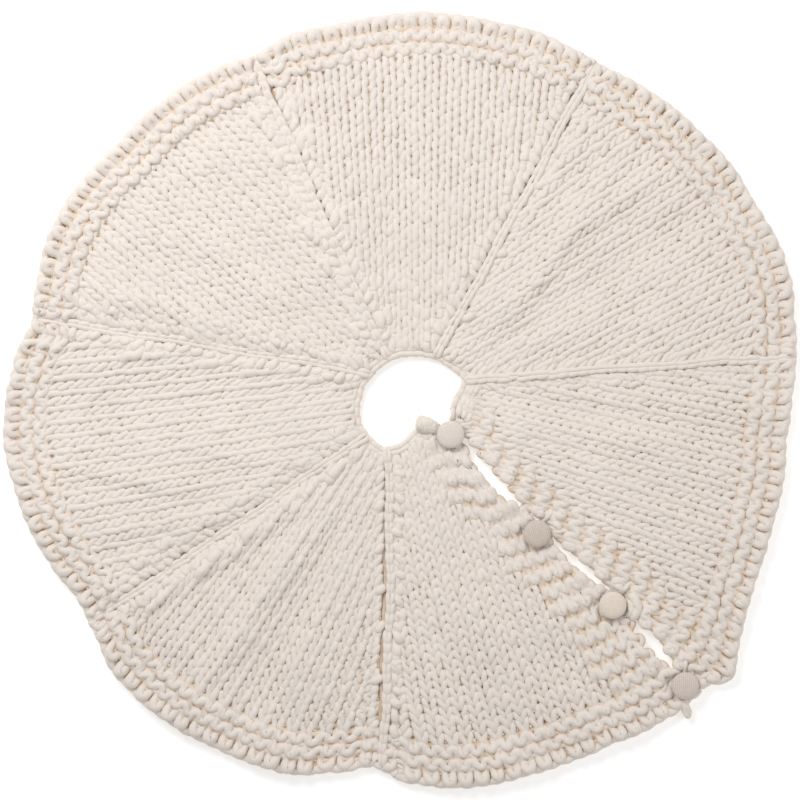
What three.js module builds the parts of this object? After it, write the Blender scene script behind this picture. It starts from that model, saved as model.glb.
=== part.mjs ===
// Chunky hand-knit tree skirt lying flat: seven knitted wedge panels around a trunk hole,
// six raised seams, and one slit that closes with four covered buttons and yarn loops.
// Millimetres, +Z up. Origin: centre of the outline at floor level.
// Panels 1 to 7 run clockwise seen from above; the slit lies between panels 3 and 4.
import * as THREE from "three";

// ---------------------------------------------------------------- fabric and seams
const KNIT_THICKNESS = 16;
const EDGE_ROUND = 4;          // height of the rounding on the fabric's edges
const SEAM_RADIUS = 6.6;
const SEAM_CLEAR = 7.4;        // fabric is cut back this far on each side of a seam line
const SEAM_END_INSET = 3;      // seam cords stop this far short of the edging and the hem

// ---------------------------------------------------------------- edging round the trunk hole
const COLLAR_RADIUS = 5.6;
const COLLAR_Z = 8.5;
const COLLAR_GAP = 1.4;        // between edging and fabric
const COLLAR_SEAM_CLEAR = 6.2; // edging stops this far from a seam line
const COLLAR_3_START = -19;    // angle of the edging's end beside the slit, degrees
const NECK_OFFSET = 2 * COLLAR_RADIUS + COLLAR_GAP;   // fabric's distance from the hole
const NECK_3_EXTRA = 2.5;      // added on panel 3, where the hole's outline turns sharply
const NECK_3_END = -23;        // angle where panel 3's neck reaches the slit, degrees
const HEM_4_END = -48.2;       // angle where panel 4's hem reaches the slit, degrees
const NECK_STEP = 6;           // degrees between outline points at the neck
const HEM_STEP = 3.5;          // and at the hem
const COLLAR_STEP = 7;         // and along the edging

// ---------------------------------------------------------------- measured outlines
const HOLE = { x: 16.9, y: -4.6 };   // centre of the trunk hole

// Radii about the hole's centre at equal angles, counter-clockwise from +X.
const TABLE_STEP = 6;   // degrees
const HEM_RADII = [
  587.5, 598.4, 606.8, 616, 619.1, 613.7, 616.8, 612.2, 610.6, 606, 599.8, 602.1, 606, 603.7,
  604.5, 603.7, 599.8, 596, 599.8, 589.1, 598.3, 603.7, 606, 603.7, 611.4, 617.5, 616, 607.5,
  599.1, 616.8, 627.6, 632.2, 626.8, 620.6, 610.6, 596, 603.7, 619.9, 622.2, 619.1, 613.7,
  609.1, 602.9, 582.9, 564.4, 587.5, 597.9, 602.1, 602.9, 606, 610.6, 622.9, 632, 634,
  622.9, 604.5, 595.2, 588.3, 587.5, 582.9,
];
const HOLE_RADII = [
  65, 69, 77, 85, 88.5, 88.5, 85.5, 82, 80, 79, 79, 77, 75.5, 75.5, 74, 74, 74, 75.5, 74, 75.5,
  73, 72.5, 73, 74, 74, 75.5, 77, 78.5, 78.5, 77, 80, 81.5, 83, 84, 85.5, 83, 83, 82, 82, 81.5,
  81.5, 78.5, 72.5, 67, 64, 60, 58, 58, 58, 58, 58, 58, 58, 58, 58, 58, 62, 66, 64, 63,
];
// Seam lines: [x, y] at the hole, [x, y] at the hem.
const SEAMS = {
  seam_7_1: [[-26.2, 78.5], [-223.3, 522.1]],
  seam_1_2: [[63.1, 81.6], [298.8, 517.4]],
  seam_2_3: [[114.0, 30.8], [606.8, 66.2]],
  seam_4_5: [[-18.5, -78.5], [-27.7, -566.7]],
  seam_5_6: [[-61.6, -61.6], [-471.2, -337.3]],
  seam_6_7: [[-73.9, 46.2], [-557.5, 124.7]],
};
// Edges of the slit as [x, y], from the hole out: loop side (panel 3), button side (panel 4).
const SLIT_LOOP_SIDE = [
  [101, -43.5], [104.5, -62], [123, -86], [147, -110], [151, -122], [160, -135], [180, -149],
  [190, -161], [226, -187], [237, -206], [241, -221], [262, -236], [290, -262], [318, -287],
  [346, -299], [353, -320], [366, -346], [379, -353], [393, -367], [395, -382], [407, -389],
  [417, -401], [431, -414], [463, -435.5], [487, -438], [505, -432],
];
const SLIT_BUTTON_SIDE = [
  [75, -38], [96, -66], [110, -86], [119, -110], [135, -122], [146, -136], [163, -150],
  [181, -163], [206, -185], [222, -199], [233, -222], [258, -241], [285, -267], [312, -291],
  [337, -306], [345, -323], [362, -350], [374, -368], [385, -386], [402, -394], [409, -403],
  [423, -419], [447, -436], [462, -447], [465, -461], [449, -474],
];
// Hole side of panel 4 and the edging along it, as [x, y] from the seam to the slit.
const NECK_4 = [[5, -88], [19, -80], [30, -70.5], [39, -65.5], [53, -59], [66, -55], [71.5, -44]];
const COLLAR_4 = [[-12, -78.2], [-3, -76.8], [6.5, -72.2], [13.5, -65.5], [19.5, -60], [28, -56]];

// ---------------------------------------------------------------- materials
const yarn = (color, roughness = 0.95) =>
  new THREE.MeshStandardMaterial({ color, roughness, metalness: 0 });
const lightKnit = yarn(0xe3d9cf);
const middleKnit = yarn(0xe1d7cd);
const darkKnit = yarn(0xe0d6cb);
const seamYarn = yarn(0xe5dbd1);
const edgingYarn = yarn(0xe6dcd2);
const buttonCloth = yarn(0xd9cec2, 0.9);
const sewingThread = yarn(0xe9e2d8, 0.8);
const plateMetal = new THREE.MeshStandardMaterial({
  color: 0xb9b9b8, roughness: 0.4, metalness: 0.8,
});

// ---------------------------------------------------------------- outline helpers
const radians = (degrees) => (degrees * Math.PI) / 180;
const angleOf = ([x, y]) => (Math.atan2(y - HOLE.y, x - HOLE.x) * 180) / Math.PI;
const radiusOf = ([x, y]) => Math.hypot(x - HOLE.x, y - HOLE.y);
const unwrap = (end, start) => (end < start ? end + 360 : end);

// Point at a radius and an angle in degrees about a centre.
const polar = (centre, radius, angle) => [
  centre.x + radius * Math.cos(radians(angle)),
  centre.y + radius * Math.sin(radians(angle)),
];

function radiusAt(radii, angle) {
  const station = (((angle % 360) + 360) % 360) / TABLE_STEP;
  const index = Math.floor(station);
  const fraction = station - index;
  const next = radii[(index + 1) % radii.length];
  return radii[index % radii.length] * (1 - fraction) + next * fraction;
}

// Point where a line parallel to a seam, moved aside (positive is counter-clockwise), meets
// a radius table plus an offset. Bisects between two distances along the seam.
function meet(seam, aside, radii, offset, near, far) {
  const [[x0, y0], [x1, y1]] = SEAMS[seam];
  const length = Math.hypot(x1 - x0, y1 - y0);
  const dirX = (x1 - x0) / length;
  const dirY = (y1 - y0) / length;
  const pointAt = (distance) => [
    x0 + dirX * distance - dirY * aside,
    y0 + dirY * distance + dirX * aside,
  ];
  for (let i = 0; i < 60; i++) {
    const middle = (near + far) / 2;
    const point = pointAt(middle);
    if (radiusOf(point) - radiusAt(radii, angleOf(point)) - offset > 0) far = middle;
    else near = middle;
  }
  return pointAt((near + far) / 2);
}
const meetHole = (seam, aside, offset) => meet(seam, aside, HOLE_RADII, offset, -60, 80);
const meetHem = (seam, aside, offset = 0) => meet(seam, aside, HEM_RADII, offset, 380, 700);

// Points along a radius table between two angles, both ends left out.
function arc(radii, offset, start, end, step) {
  const points = [];
  const count = Math.max(1, Math.round(Math.abs(end - start) / step));
  for (let i = 1; i < count; i++) {
    const angle = start + ((end - start) * i) / count;
    points.push(polar(HOLE, radiusAt(radii, angle) + offset, angle));
  }
  return points;
}

// ---------------------------------------------------------------- solid helpers
// Fabric with rounded edges, standing on the floor.
function slab(points) {
  const bevelSize = EDGE_ROUND * 0.8;
  const shape = new THREE.Shape(points.map(([x, y]) => new THREE.Vector2(x, y)));
  const geometry = new THREE.ExtrudeGeometry(shape, {
    depth: KNIT_THICKNESS - 2 * EDGE_ROUND,
    bevelEnabled: true,
    bevelThickness: EDGE_ROUND,
    bevelSize,
    bevelOffset: -bevelSize,
    bevelSegments: 2,
    steps: 1,
  });
  return geometry.translate(0, 0, EDGE_ROUND);
}

// Round cord through [x, y] points at z = 0.
function cord(points, { radius, sides, steps }) {
  const section = [];
  for (let i = 0; i < sides; i++) {
    const turn = (2 * Math.PI * i) / sides;
    section.push(new THREE.Vector2(radius * Math.cos(turn), radius * Math.sin(turn)));
  }
  const stations = points.map(([x, y]) => new THREE.Vector3(x, y, 0));
  const extrudePath = new THREE.CatmullRomCurve3(stations, false, "centripetal");
  return new THREE.ExtrudeGeometry(new THREE.Shape(section), {
    steps, bevelEnabled: false, extrudePath,
  });
}

// Profile points are [radius, height].
const lathe = (profile, segments) =>
  new THREE.LatheGeometry(profile.map(([r, h]) => new THREE.Vector2(r, h)), segments);

// Round-ended finger of changing radius, lying from one point to another.
function finger({ from, to, startRadius, endRadius }) {
  const dx = to[0] - from[0];
  const dy = to[1] - from[1];
  const length = Math.hypot(dx, dy);
  const capSteps = 5;
  const profile = [[0, -startRadius]];
  for (let i = 1; i <= capSteps; i++) {
    const turn = radians(-90 + (90 * i) / capSteps);
    profile.push([startRadius * Math.cos(turn), startRadius * Math.sin(turn)]);
  }
  for (let i = 0; i < capSteps; i++) {
    const turn = radians((90 * i) / capSteps);
    profile.push([endRadius * Math.cos(turn), length + endRadius * Math.sin(turn)]);
  }
  profile.push([0, length + endRadius]);
  return lathe(profile, 16)
    .rotateZ(-Math.PI / 2)
    .rotateZ(Math.atan2(dy, dx))
    .translate(from[0], from[1], 0);
}

const skirt = new THREE.Group();
function add(name, geometry, material, z = 0) {
  const mesh = new THREE.Mesh(geometry, material);
  mesh.name = name;
  mesh.position.z = z;
  skirt.add(mesh);
  return mesh;
}

// ---------------------------------------------------------------- seven wedge panels
// ccw and cw name the seams on a panel's counter-clockwise and clockwise sides.
const PANELS = [
  { ccw: "seam_7_1", cw: "seam_1_2", knit: lightKnit },
  { ccw: "seam_1_2", cw: "seam_2_3", knit: middleKnit },
  { ccw: "seam_2_3", knit: darkKnit, outline: loopPanelOutline },
  { cw: "seam_4_5", knit: darkKnit, outline: buttonPanelOutline },
  { ccw: "seam_4_5", cw: "seam_5_6", knit: middleKnit },
  { ccw: "seam_5_6", cw: "seam_6_7", knit: lightKnit },
  { ccw: "seam_6_7", cw: "seam_7_1", knit: lightKnit },
];

// Fabric corners on one side of a seam.
const corners = (seam, aside) => ({
  hem: meetHem(seam, aside),
  neck: meetHole(seam, aside, NECK_OFFSET),
});

// Panel between two seams.
function wedgeOutline({ ccw, cw }) {
  const start = corners(cw, SEAM_CLEAR);
  const end = corners(ccw, -SEAM_CLEAR);
  const hemStart = angleOf(start.hem);
  const hemEnd = unwrap(angleOf(end.hem), hemStart);
  const neckStart = angleOf(start.neck);
  const neckEnd = unwrap(angleOf(end.neck), neckStart);
  return [
    start.neck,
    start.hem,
    ...arc(HEM_RADII, 0, hemStart, hemEnd, HEM_STEP),
    end.hem,
    end.neck,
    ...arc(HOLE_RADII, NECK_OFFSET, neckEnd, neckStart, NECK_STEP),
  ];
}

// Panel 3, with the slit on its clockwise side.
function loopPanelOutline({ ccw }) {
  const { hem, neck } = corners(ccw, -SEAM_CLEAR);
  return [
    ...SLIT_LOOP_SIDE,
    ...arc(HEM_RADII, 0, angleOf(SLIT_LOOP_SIDE.at(-1)), angleOf(hem), HEM_STEP),
    hem,
    neck,
    ...arc(HOLE_RADII, NECK_OFFSET + NECK_3_EXTRA, angleOf(neck), NECK_3_END, NECK_STEP),
  ];
}

// Panel 4, with the slit on its counter-clockwise side.
function buttonPanelOutline({ cw }) {
  const { hem, neck } = corners(cw, SEAM_CLEAR);
  return [
    neck,
    hem,
    ...arc(HEM_RADII, 0, angleOf(hem), HEM_4_END, HEM_STEP),
    ...SLIT_BUTTON_SIDE.toReversed(),
    ...NECK_4.toReversed(),
  ];
}

PANELS.forEach((panel, i) => {
  const { outline = wedgeOutline, knit } = panel;
  add(`panel_${i + 1}`, slab(outline(panel)), knit);
});

// ---------------------------------------------------------------- six raised seam cords
for (const name of Object.keys(SEAMS)) {
  const start = meetHole(name, 0, 2 * COLLAR_RADIUS + SEAM_END_INSET);
  const end = meetHem(name, 0, -SEAM_END_INSET);
  const middle = [(start[0] + end[0]) / 2, (start[1] + end[1]) / 2];
  const geometry = cord([start, middle, end], { radius: SEAM_RADIUS, sides: 16, steps: 2 });
  add(name, geometry, seamYarn, KNIT_THICKNESS);
}

// ---------------------------------------------------------------- edging round the trunk hole
function collarPath({ ccw, cw }) {
  const start = cw
    ? meetHole(cw, COLLAR_SEAM_CLEAR, COLLAR_RADIUS)
    : polar(HOLE, radiusAt(HOLE_RADII, COLLAR_3_START) + COLLAR_RADIUS, COLLAR_3_START);
  const end = meetHole(ccw, -COLLAR_SEAM_CLEAR, COLLAR_RADIUS);
  const startAngle = angleOf(start);
  const endAngle = unwrap(angleOf(end), startAngle);
  return [start, ...arc(HOLE_RADII, COLLAR_RADIUS, startAngle, endAngle, COLLAR_STEP), end];
}

PANELS.forEach((panel, i) => {
  // Only panel 4 has no counter-clockwise seam; its edging follows a measured path.
  const path = panel.ccw ? collarPath(panel) : COLLAR_4;
  const steps = panel.ccw ? 14 : 12;
  const geometry = cord(path, { radius: COLLAR_RADIUS, sides: 12, steps });
  add(`collar_${i + 1}`, geometry, edgingYarn, COLLAR_Z);
});

// ---------------------------------------------------------------- two loose yarn ends
// Rounded end beside the button nearest the hole.
const TAB_RADIUS = 8.4;
const tab = finger({
  from: [38, -35.5], to: [57, -45], startRadius: TAB_RADIUS, endRadius: TAB_RADIUS * 0.92,
});
add("collar_tab", tab, edgingYarn, 9);

// Tapered end at the hem end of the slit.
const tail = finger({ from: [446, -484], to: [452.5, -497.5], startRadius: 6, endRadius: 2.4 });
add("yarn_tail", tail, edgingYarn, 8);

// ---------------------------------------------------------------- four covered buttons
const BUTTONS = [[77.8, -53.1], [211, -205.6], [327.3, -315.7], [438.9, -439.7]];
const BUTTON_RADIUS = 21;
const BUTTON_BOTTOM = 22.8;   // height of the rim above the floor
const BUTTON_DOME = 9.5;      // rise of the dome above the rim
const BUTTON_WALL = 1.6;      // shell and cloth together
const BUTTON_BORE = BUTTON_RADIUS - BUTTON_WALL - 1.2;   // inner radius at the rim
const PLATE_RADIUS = BUTTON_BORE - 0.7;
const THREAD_RADIUS = 2.2;

// Point on the cap, as fractions of the button's radius and the dome's rise.
const capPoint = (across, rise, drop = 0) =>
  [BUTTON_RADIUS * across, BUTTON_BOTTOM + BUTTON_DOME * rise - drop];
const domeHeight = (rise) => BUTTON_BOTTOM + BUTTON_DOME * rise;

// Cloth-covered shell: down the inside, round the rim, up the outside.
const CAP_PROFILE = [
  capPoint(0, 1, BUTTON_WALL),
  capPoint(0.3, 0.975, BUTTON_WALL),
  capPoint(0.55, 0.88, BUTTON_WALL),
  capPoint(0.74, 0.73, BUTTON_WALL),
  [BUTTON_BORE - 0.2, domeHeight(0.37)],
  [BUTTON_BORE, domeHeight(0.2)],
  [BUTTON_BORE, BUTTON_BOTTOM],
  [BUTTON_RADIUS - 1.3, BUTTON_BOTTOM],
  [BUTTON_RADIUS - 0.4, domeHeight(0.08)],
  capPoint(1, 0.24),
  [BUTTON_RADIUS - 0.5, domeHeight(0.44)],
  capPoint(0.9, 0.62),
  capPoint(0.78, 0.77),
  capPoint(0.6, 0.89),
  capPoint(0.34, 0.97),
  capPoint(0, 1),
];
// Back plate with a low central boss underneath.
const PLATE_PROFILE = [
  [0, BUTTON_BOTTOM - 0.6],
  [4, BUTTON_BOTTOM - 0.6],
  [4.2, BUTTON_BOTTOM + 0.6],
  [PLATE_RADIUS - 0.3, BUTTON_BOTTOM + 0.8],
  [PLATE_RADIUS, BUTTON_BOTTOM + 1.5],
  [PLATE_RADIUS - 0.3, BUTTON_BOTTOM + 2.2],
  [6, BUTTON_BOTTOM + 2.6],
  [0, BUTTON_BOTTOM + 2.6],
];
// Wrapped sewing thread between the fabric and the plate.
const THREAD_PROFILE = [
  [0, KNIT_THICKNESS + 0.9],
  [THREAD_RADIUS * 0.8, KNIT_THICKNESS + 1],
  [THREAD_RADIUS, KNIT_THICKNESS + 2],
  [THREAD_RADIUS * 0.85, KNIT_THICKNESS + 3.6],
  [THREAD_RADIUS * 1.1, BUTTON_BOTTOM - 1.4],
  [THREAD_RADIUS * 0.7, BUTTON_BOTTOM - 1.05],
  [0, BUTTON_BOTTOM - 1],
];
const BUTTON_PARTS = [
  { part: "cap", profile: CAP_PROFILE, segments: 32, material: buttonCloth },
  { part: "back", profile: PLATE_PROFILE, segments: 24, material: plateMetal },
  { part: "thread", profile: THREAD_PROFILE, segments: 12, material: sewingThread },
];

BUTTONS.forEach(([x, y], i) => {
  for (const { part, profile, segments, material } of BUTTON_PARTS) {
    const mesh = add(`button_${i + 1}_${part}`, lathe(profile, segments), material);
    mesh.rotation.x = Math.PI / 2;   // lathe axis +Y to +Z
    mesh.position.set(x, y, 0);
  }
});

// ---------------------------------------------------------------- four yarn loops
const SLIT_ANGLE = -45;     // run of the slit, degrees from +X
const LOOP_OPENING = 100;   // gap in each ring facing panel 3, degrees
const LOOP_RING = 13;       // radius of a loop round its button's thread
const LOOP_SPANS = 8;       // path spans round the ring
const LOOP_YARN = { radius: 2.7, sides: 8, steps: 30 };
const LOOP_Z = 19.4;        // height of the loops' centre line
// Where each loop's two ends are sewn to panel 3.
const LOOP_ENDS = [
  [[108, -35], [118, -55]],
  [[232, -174], [252, -202]],
  [[352, -284], [370, -314]],
  [[440, -402], [474, -423]],
];

BUTTONS.forEach(([x, y], i) => {
  const [start, end] = LOOP_ENDS[i];
  const ring = [];
  for (let k = 0; k <= LOOP_SPANS; k++) {
    const turned = ((360 - LOOP_OPENING) * k) / LOOP_SPANS;
    ring.push(polar({ x, y }, LOOP_RING, SLIT_ANGLE + 90 + LOOP_OPENING / 2 + turned));
  }
  add(`loop_${i + 1}`, cord([start, ...ring, end], LOOP_YARN), edgingYarn, LOOP_Z);
});

export default skirt;
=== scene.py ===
# A round knitted yoke seen flat from above: seven knitted panels joined by six corded seams
# round an off-centre hole, open along one slit that four covered buttons and their loops close.
# It lies on the floor in the XY plane with +Z up; the slit runs from the hole towards +X -Y.
# Sizes are millimetres in the frame of the CAD pieces and angles are degrees, counter-clockwise
# from +X as seen from above, unless a comment says otherwise.
import bpy, math
import numpy as np
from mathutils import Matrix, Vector


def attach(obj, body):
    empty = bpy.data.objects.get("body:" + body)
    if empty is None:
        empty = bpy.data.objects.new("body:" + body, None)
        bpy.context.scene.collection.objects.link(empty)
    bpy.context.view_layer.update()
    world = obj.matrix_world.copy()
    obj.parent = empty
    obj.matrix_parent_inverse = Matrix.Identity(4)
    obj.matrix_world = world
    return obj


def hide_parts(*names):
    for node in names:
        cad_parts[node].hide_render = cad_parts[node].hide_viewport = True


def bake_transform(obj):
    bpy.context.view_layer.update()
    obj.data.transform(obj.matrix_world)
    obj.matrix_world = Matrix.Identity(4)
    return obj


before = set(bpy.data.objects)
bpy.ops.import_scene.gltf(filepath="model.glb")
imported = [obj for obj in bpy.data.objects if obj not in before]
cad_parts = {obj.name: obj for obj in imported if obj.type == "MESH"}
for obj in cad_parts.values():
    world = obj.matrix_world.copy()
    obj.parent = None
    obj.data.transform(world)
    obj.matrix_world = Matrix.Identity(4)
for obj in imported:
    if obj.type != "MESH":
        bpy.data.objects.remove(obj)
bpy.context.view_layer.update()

MM = 0.001
rng = np.random.default_rng(71)    # irregular hand work
fuzz = np.random.default_rng(19)   # loose fibres on the yarn's surface

# ------------------------------------------------------------------ outlines
HOLE = np.array([16.9, -4.6])      # centre of the hole, and the pole of both outlines
TABLE_STEP = 6.0                   # degrees between the radii below, starting at +X
HEM_RADII = np.array([
    587.5, 598.4, 606.8, 616, 619.1, 613.7, 616.8, 612.2, 610.6, 606, 599.8, 602.1, 606, 603.7,
    604.5, 603.7, 599.8, 596, 599.8, 589.1, 598.3, 603.7, 606, 603.7, 611.4, 617.5, 616, 607.5,
    599.1, 616.8, 627.6, 632.2, 626.8, 620.6, 610.6, 596, 603.7, 619.9, 622.2, 619.1, 613.7,
    609.1, 602.9, 582.9, 564.4, 587.5, 597.9, 602.1, 602.9, 606, 610.6, 622.9, 632, 634,
    622.9, 604.5, 595.2, 588.3, 587.5, 582.9])
HOLE_RADII = np.array([
    65, 69, 77, 85, 88.5, 88.5, 85.5, 82, 80, 79, 79, 77, 75.5, 75.5, 74, 74, 74, 75.5, 74, 75.5,
    73, 72.5, 73, 74, 74, 75.5, 77, 78.5, 78.5, 77, 80, 81.5, 83, 84, 85.5, 83, 83, 82, 82, 81.5,
    81.5, 78.5, 72.5, 67, 64, 60, 58, 58, 58, 58, 58, 58, 58, 58, 58, 58, 62, 66, 64, 63.0])
# edges of the slit, hole to hem, x and y: on panel 3, then on panel 4
SLIT_3 = np.array([
    (101, -43.5), (104.5, -62), (123, -86), (147, -110), (151, -122), (160, -135), (180, -149),
    (190, -161), (226, -187), (237, -206), (241, -221), (262, -236), (290, -262), (318, -287),
    (346, -299), (353, -320), (366, -346), (379, -353), (393, -367), (395, -382), (407, -389),
    (417, -401), (431, -414), (463, -435.5), (487, -438), (505, -432.0)])
SLIT_4 = np.array([
    (75, -38), (96, -66), (110, -86), (119, -110), (135, -122), (146, -136), (163, -150),
    (181, -163), (206, -185), (222, -199), (233, -222), (258, -241), (285, -267), (312, -291),
    (337, -306), (345, -323), (362, -350), (374, -368), (385, -386), (402, -394), (409, -403),
    (423, -419), (447, -436), (462, -447), (465, -461), (449, -474.0)])
# width between the slit's edges: distance along the slit, width (negative where they overlap)
SLIT_WIDTHS = np.array([
    (60, 0), (112, 1), (126, 11), (150, 16), (215, 15), (238, 8), (250, -3), (300, -1), (312, 2),
    (320, 4), (330, -1), (345, -1), (356, 5.5), (415, 5.5), (426, -3), (498, -2), (512, 11),
    (552, 13), (568, 5), (585, -3), (700, -2.0)])
SLIT_INSET = 7.2                   # stitch middles lie this far inside the slit's edge
# end of the hole's edging on panel 4, and the line panel 4's knitting runs up to
EDGING_END_4 = np.array([(-3, -76.8), (6.5, -72.2), (13.5, -65.5), (20.5, -58), (28, -50.5),
                         (35, -45.0)])
KNIT_TOP_4 = np.array([(-14, -90), (5, -86), (17, -76), (28, -66), (38, -57), (50, -51),
                       (62, -47), (74, -47), (92, -56.0)])
BUTTONS = [(77.8, -53.1), (211, -205.6), (327.3, -315.7), (438.9, -439.7)]


class Seam:
    """A straight seam from the hole to the hem; its normal points counter-clockwise."""
    def __init__(self, start, end, gap, cord_height, bow, bulk):
        self.start = np.array(start)
        run = np.array(end) - self.start
        self.length = np.linalg.norm(run)
        self.direction = run / self.length
        self.normal = np.array([-self.direction[1], self.direction[0]])
        self.gap = gap                  # from the seam line to the first stitch
        self.cord_height = cord_height
        self.bow = bow                  # how far the cord's middle strays along the normal
        self.bulk = bulk                # how crowded the knots are: clockwise side, other side

    def offset(self, plan):
        return (plan - self.start) @ self.normal


SEAMS = {
    "seam_7_1": Seam((-26.2, 78.5), (-223.3, 522.1), 8.6, 13.4, 2.0, (1.0, 1.15)),
    "seam_1_2": Seam((63.1, 81.6), (298.8, 517.4), 8.0, 15.9, -2.0, (0.3, 0.95)),
    "seam_2_3": Seam((114.0, 30.8), (606.8, 66.2), 6.4, 15.6, 1.5, (0.0, 0.0)),
    "seam_4_5": Seam((-18.5, -78.5), (-27.7, -566.7), 7.6, 15.9, 7.0, (0.25, 0.8)),
    "seam_5_6": Seam((-61.6, -61.6), (-471.2, -337.3), 8.4, 15.0, 2.0, (1.0, 1.35)),
    "seam_6_7": Seam((-73.9, 46.2), (-557.5, 124.7), 8.2, 13.4, -1.5, (0.9, 1.0)),
}
SEAM_GAPS = {name: seam.gap for name, seam in SEAMS.items()}
# seam: (parent body, child body, side of the child: +1 counter-clockwise, -1 clockwise)
SEAM_BODIES = {
    "seam_7_1": ("wedge_7", "wedge_1", -1),
    "seam_1_2": ("wedge_1", "wedge_2", -1),
    "seam_2_3": ("wedge_2", "wedge_3", -1),
    "seam_6_7": ("wedge_7", "wedge_6", 1),
    "seam_5_6": ("wedge_6", "wedge_5", 1),
    "seam_4_5": ("wedge_5", "wedge_4", 1),
}
SEAM_ZONE = 22.0                   # half width of the knitting that bends at a seam

# ------------------------------------------------------------------ knitting sizes
# panel: counter-clockwise side, clockwise side, outward knit direction at the clockwise and
# counter-clockwise side, skew, leg lean, how far the continuous leg stands above the other,
# how deep the stitches stand
PANELS = {
    1: ("seam_7_1", "seam_1_2", 83.0, 97.0, 0.06, 0.165, 1.0, 0.74),
    2: ("seam_1_2", "seam_2_3", 24.0, 38.0, 0.25, 0.195, 0.45, 0.68),
    3: ("seam_2_3", "slit", -25.0, -8.0, 0.05, 0.225, 0.5, 0.95),
    4: ("slit", "seam_4_5", -82.0, -62.0, 0.05, 0.215, 0.6, 1.18),
    5: ("seam_4_5", "seam_5_6", -133.0, -109.0, 0.27, 0.195, 1.2, 0.90),
    6: ("seam_5_6", "seam_6_7", 184.0, 193.0, 0.25, 0.200, 0.4, 0.55),
    7: ("seam_6_7", "seam_7_1", 134.0, 141.0, 0.00, 0.225, 0.0, 0.55),
}
# how bulky a panel's last stitches beside each seam are
LUMPS = {
    (1, "seam_7_1"): 1.1, (7, "seam_7_1"): 1.35, (7, "seam_6_7"): 1.2, (6, "seam_6_7"): 1.35,
    (1, "seam_1_2"): 0.9, (2, "seam_1_2"): 0.25, (2, "seam_2_3"): 0.2, (3, "seam_2_3"): 0.3,
    (4, "seam_4_5"): 0.8, (5, "seam_4_5"): 0.15, (5, "seam_5_6"): 1.2, (6, "seam_5_6"): 1.2}
STITCH_WIDTH = 22.4
ROW_HEIGHT = 15.0
HEM_ROW_HEIGHT = 11.6
HEM_WIDTH = 68.0
HEM_ROWS = 5
SLIT_BAND = {3: 3, 4: 4}           # garter stitches along the slit, by panel
YARN = 5.15                        # yarn radius
STITCH_DEPTH = 2.9                 # how far plain stitches swing up and down
GARTER_DEPTH = 2.9
MIDDLE = 8.9                       # height of the fabric's middle
STITCH_SAMPLES = 16
YARN_SIDES = 10

# soft folds: centre x, y, run direction x, y, half length, half width, height
FOLDS = [
    (-251, -224, 0.83, 0.558, 165, 13, 7.5), (-283, -176, 0.83, 0.558, 150, 12, 5.5),
    (262, 262, 0.60, 0.80, 120, 15, 9.0), (330, 300, 0.80, 0.60, 90, 13, 6.5),
    (228, 330, 0.55, 0.83, 80, 13, 6.0), (200, 170, 0.75, 0.66, 70, 12, 6.0),
    (-62, 235, 0.10, 0.99, 120, 15, 7.0), (-95, 300, 0.25, 0.97, 90, 14, 5.0),
    (-255, -75, 0.985, -0.17, 130, 12, 10.0), (-330, -30, 0.985, -0.17, 120, 13, 8.5),
    (-400, -120, 0.99, -0.15, 110, 14, 6.5), (-300, 30, 0.985, -0.17, 120, 13, 8.0),
    (-350, -190, 0.98, 0.15, 110, 14, 5.0), (-160, -55, 0.98, -0.2, 80, 12, 5.0),
    (-150, -210, 0.62, 0.78, 120, 14, 7.5), (-205, -300, 0.62, 0.78, 120, 14, 8.0),
    (-110, -330, 0.45, 0.89, 120, 14, 7.0), (-260, -390, 0.66, 0.75, 80, 14, 6.0),
    (-60, -240, 0.3, 0.95, 100, 13, 5.5), (-260, 210, 0.7, -0.7, 110, 20, 4.5),
    (-230, 105, 0.97, -0.2, 120, 14, 5.0), (-390, 150, 0.95, -0.2, 70, 16, 6.0),
    (-190, 330, 0.5, -0.86, 90, 15, 5.0), (330, -60, 0.99, -0.14, 110, 18, 4.0),
    (420, -180, 0.94, -0.34, 90, 18, 4.0), (120, -330, 0.3, -0.95, 110, 18, 4.5),
    (60, -430, 0.25, -0.97, 90, 16, 4.5), (200, -420, 0.45, -0.9, 90, 16, 4.0),
]
FLAT_SEAMS = {"seam_2_3": 0.1, "seam_4_5": -1.5}  # seams that fold right over: height cap there


# ------------------------------------------------------------------ plan geometry
def smoothstep(x):
    return x * x * (3 - 2 * x)


def radius_at(radii, angle):
    """Radius from a polar table, half smoothed and half straight between its stations."""
    place = np.mod(np.asarray(angle, float), 360.0) / TABLE_STEP
    i = np.floor(place).astype(int)
    f = place - i
    f = smoothstep(f) * 0.5 + f * 0.5
    return radii[i % 60] * (1 - f) + radii[(i + 1) % 60] * f


def angle_of(plan):
    return np.degrees(np.arctan2(plan[..., 1] - HOLE[1], plan[..., 0] - HOLE[0]))


def radius_of(plan):
    return np.hypot(plan[..., 0] - HOLE[0], plan[..., 1] - HOLE[1])


def unit(angle):
    angle = np.radians(angle)
    return np.stack([np.cos(angle), np.sin(angle)], -1)


SLIT_ALONG = np.array([math.cos(math.radians(-45)), math.sin(math.radians(-45))])
SLIT_ACROSS = np.array([-SLIT_ALONG[1], SLIT_ALONG[0]])     # towards panel 3
SLIT_STATIONS = np.arange(60, 640, 4.0)


def slit_edge(line):
    """Sideways place of one slit edge at the stations."""
    along, across = line @ SLIT_ALONG, line @ SLIT_ACROSS
    order = np.argsort(along)
    return np.interp(SLIT_STATIONS, along[order], across[order])


SLIT_MIDDLE = (slit_edge(SLIT_3) + slit_edge(SLIT_4)) / 2


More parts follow.
